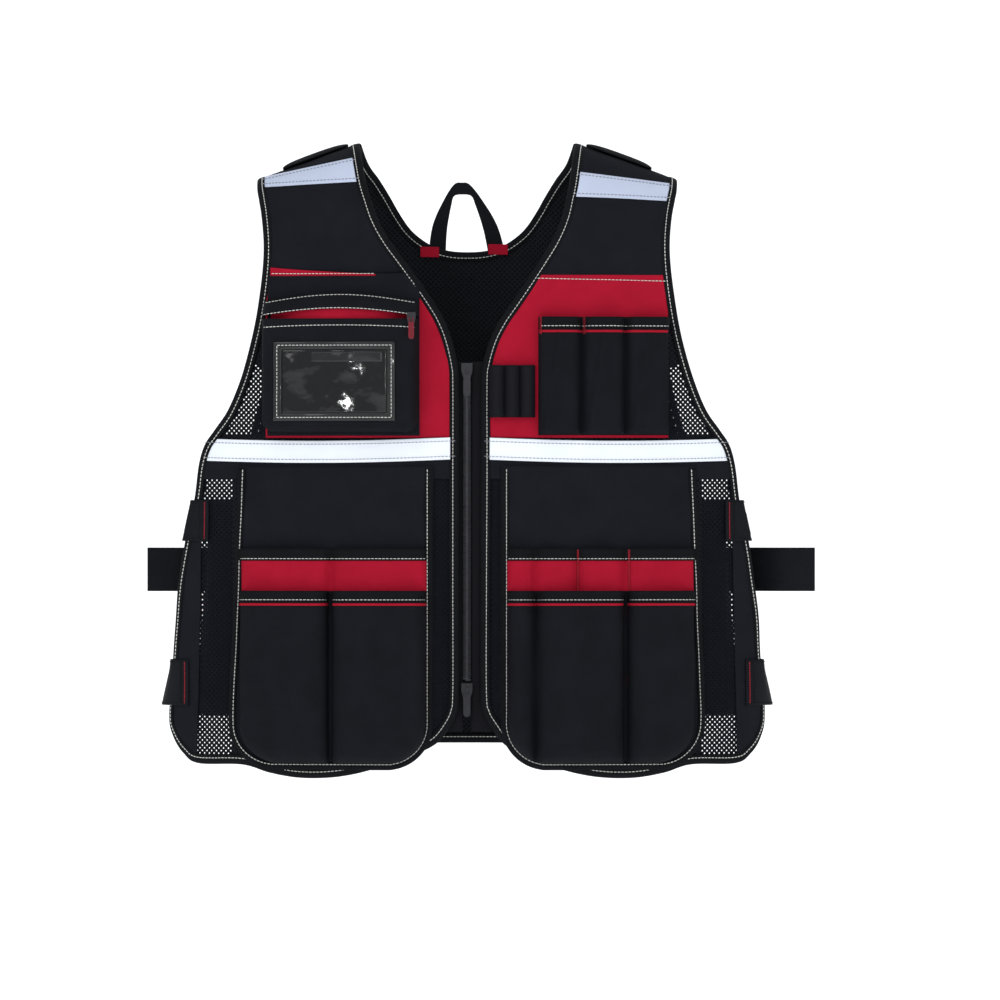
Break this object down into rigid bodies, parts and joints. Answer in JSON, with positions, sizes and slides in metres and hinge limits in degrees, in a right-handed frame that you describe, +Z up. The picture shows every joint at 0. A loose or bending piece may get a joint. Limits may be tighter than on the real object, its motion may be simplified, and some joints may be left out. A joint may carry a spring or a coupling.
{
  "type": "utility work vest",
  "caption": "Sleeveless work vest with mesh walls, reflective tapes, open tool pouches, a zipped bag with a card window, side straps and a front zip.",
  "frame": {"origin": "midway between the two shoulder seams, where the wearer's shoulders carry the vest", "axes": "+Z up, +X to the wearer's left, the front faces -Y"},
  "size_m": [0.674, 0.2135, 0.6369],
  "materials": {
    "air_mesh": "open air mesh, matt",
    "net": "net with diamond holes, slight sheen",
    "black_cloth": "plain woven polyester, matt",
    "elastic": "ribbed elastic, matt",
    "red_cloth": "plain woven polyester, soft sheen",
    "reflective_tape": "glass-bead reflective tape, satin",
    "binding": "grosgrain edge tape, matt",
    "webbing": "woven webbing, slight sheen",
    "zip_tape": "woven zip tape, matt",
    "zip_chain": "moulded teeth",
    "zip_metal": "black enamel, semi-gloss",
    "clear_window": "clear soft vinyl, glossy"
  },
  "bodies": {
    "vest": {"back_panel": "air_mesh", "front_panel_r": "net", "front_panel_l": "net", "yoke_r": "black_cloth", "yoke_l": "black_cloth", "waist_band_r": "black_cloth", "waist_band_l": "black_cloth", "side_border_r": "black_cloth", "side_border_l": "black_cloth", "pocket_back_r": "black_cloth", "pocket_back_l": "black_cloth", "pocket_front_inner_r": "black_cloth", "pocket_front_outer_r": "black_cloth", "pocket_front_inner_l": "black_cloth", "pocket_front_outer_l": "black_cloth", "shoulder_pad_r": "black_cloth", "shoulder_pad_l": "black_cloth", "chest_patch": "black_cloth", "zip_bag": "black_cloth", "bag_hood": "black_cloth", "tool_slots": "black_cloth", "side_wing_r": "elastic", "side_wing_l": "elastic", "elastic_loops": "elastic", "chest_panel_r": "red_cloth", "chest_panel_l": "red_cloth", "pocket_red_r": "red_cloth", "pocket_red_l": "red_cloth", "loop_tab_r": "red_cloth", "loop_tab_l": "red_cloth", "chest_tape_r": "reflective_tape", "chest_tape_l": "reflective_tape", "shoulder_tape_r": "reflective_tape", "shoulder_tape_l": "reflective_tape", "front_binding_r": "binding", "front_binding_l": "binding", "back_neck_binding": "binding", "back_side_binding": "binding", "pocket_hem_r": "binding", "pocket_hem_l": "binding", "tool_slots_hem": "binding", "card_frame": "binding", "strap_upper_r": "webbing", "strap_upper_l": "webbing", "strap_lower_r": "webbing", "strap_lower_l": "webbing", "strap_tab_r": "webbing", "strap_tab_l": "webbing", "hanging_loop": "webbing", "zip_tape_r": "zip_tape", "zip_tape_l": "zip_tape", "zip_chain": "zip_chain", "zip_slider_top": "zip_metal", "zip_slider_bottom": "zip_metal", "bag_slider": "zip_metal", "card_window": "clear_window"},
    "top_pull": {"zip_pull_top": "zip_metal"},
    "bottom_pull": {"zip_pull_bottom": "zip_metal"},
    "bag_pull": {"bag_pull": "zip_metal"}
  },
  "joints": [
    {"name": "top_pull_swing", "type": "hinge", "parent": "vest", "child": "top_pull", "pos_m": [0, -0.09131, -0.20602], "axis": [-1, 0, 0], "range_deg": [0, 150]},
    {"name": "bottom_pull_swing", "type": "hinge", "parent": "vest", "child": "bottom_pull", "pos_m": [0, -0.09602, -0.52512], "axis": [-1, 0, 0], "range_deg": [0, 150]},
    {"name": "bag_pull_swing", "type": "hinge", "parent": "vest", "child": "bag_pull", "pos_m": [-0.05518, -0.12086, -0.15453], "axis": [-1, 0, 0], "range_deg": [0, 150]}
  ]
}
